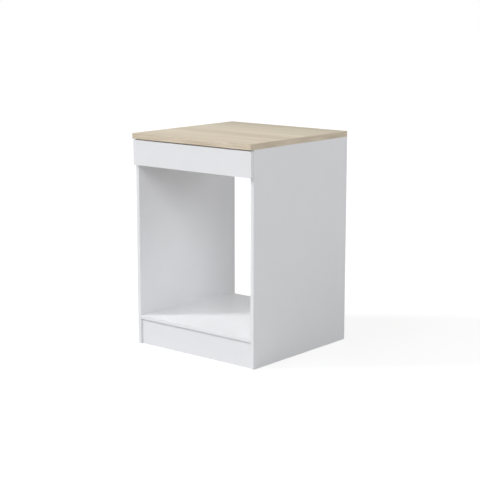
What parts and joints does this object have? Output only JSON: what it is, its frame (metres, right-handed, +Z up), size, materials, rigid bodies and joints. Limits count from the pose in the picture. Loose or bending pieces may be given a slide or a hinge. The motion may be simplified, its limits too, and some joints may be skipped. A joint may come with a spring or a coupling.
{
  "type": "oven base cabinet",
  "caption": "Free-standing flat-pack base cabinet for a built-in oven: white carcass open front and back, oak-look worktop, fixed fascia, shelf and plinth.",
  "frame": {"origin": "on the floor, under the middle of the worktop's footprint", "axes": "+X to the cabinet's right as seen from the front, +Y from the front to the back, +Z up"},
  "size_m": [0.6, 0.6, 0.85],
  "materials": {
    "white_melamine_board": "smooth matt white melamine on chipboard, raw where an edge has no band",
    "oak_melamine_board": "matt pale oak decor with a fine straight grain along the width",
    "white_edge_band": "satin white edge band",
    "oak_edge_band": "matt pale oak decor edge band",
    "cast_zinc": "tumbled die-cast zinc",
    "zinc_plated_steel": "bright zinc plate",
    "beech": "plain turned beech",
    "white_moulded_plastic": "matt moulded polypropylene"
  },
  "bodies": {
    "root": {"worktop": "oak_melamine_board", "worktop_front_band": "oak_edge_band", "worktop_left_band": "oak_edge_band", "worktop_right_band": "oak_edge_band", "left_side_panel": "white_melamine_board", "left_panel_front_band": "white_edge_band", "right_side_panel": "white_melamine_board", "right_panel_front_band": "white_edge_band", "oven_shelf": "white_melamine_board", "oven_shelf_front_band": "white_edge_band", "plinth": "white_melamine_board", "plinth_bands": "white_edge_band", "fascia": "white_melamine_board", "fascia_long_bands": "white_edge_band", "fascia_end_bands": "white_edge_band", "front_top_rail": "white_melamine_board", "front_top_rail_band": "white_edge_band", "rear_top_rail": "white_melamine_board", "rear_top_rail_band": "white_edge_band", "shelf_cams": "cast_zinc", "shelf_cam_bolts": "zinc_plated_steel", "shelf_dowels": "beech", "plinth_cams": "cast_zinc", "plinth_cam_bolts": "zinc_plated_steel", "plinth_dowels": "beech", "front_rail_cams": "cast_zinc", "front_rail_cam_bolts": "zinc_plated_steel", "front_rail_dowels": "beech", "rear_rail_cams": "cast_zinc", "rear_rail_cam_bolts": "zinc_plated_steel", "rear_rail_dowels": "beech", "fascia_screws": "zinc_plated_steel", "corner_blocks": "white_moulded_plastic", "worktop_screws": "zinc_plated_steel", "side_panel_screws": "zinc_plated_steel"}
  },
  "joints": []
}
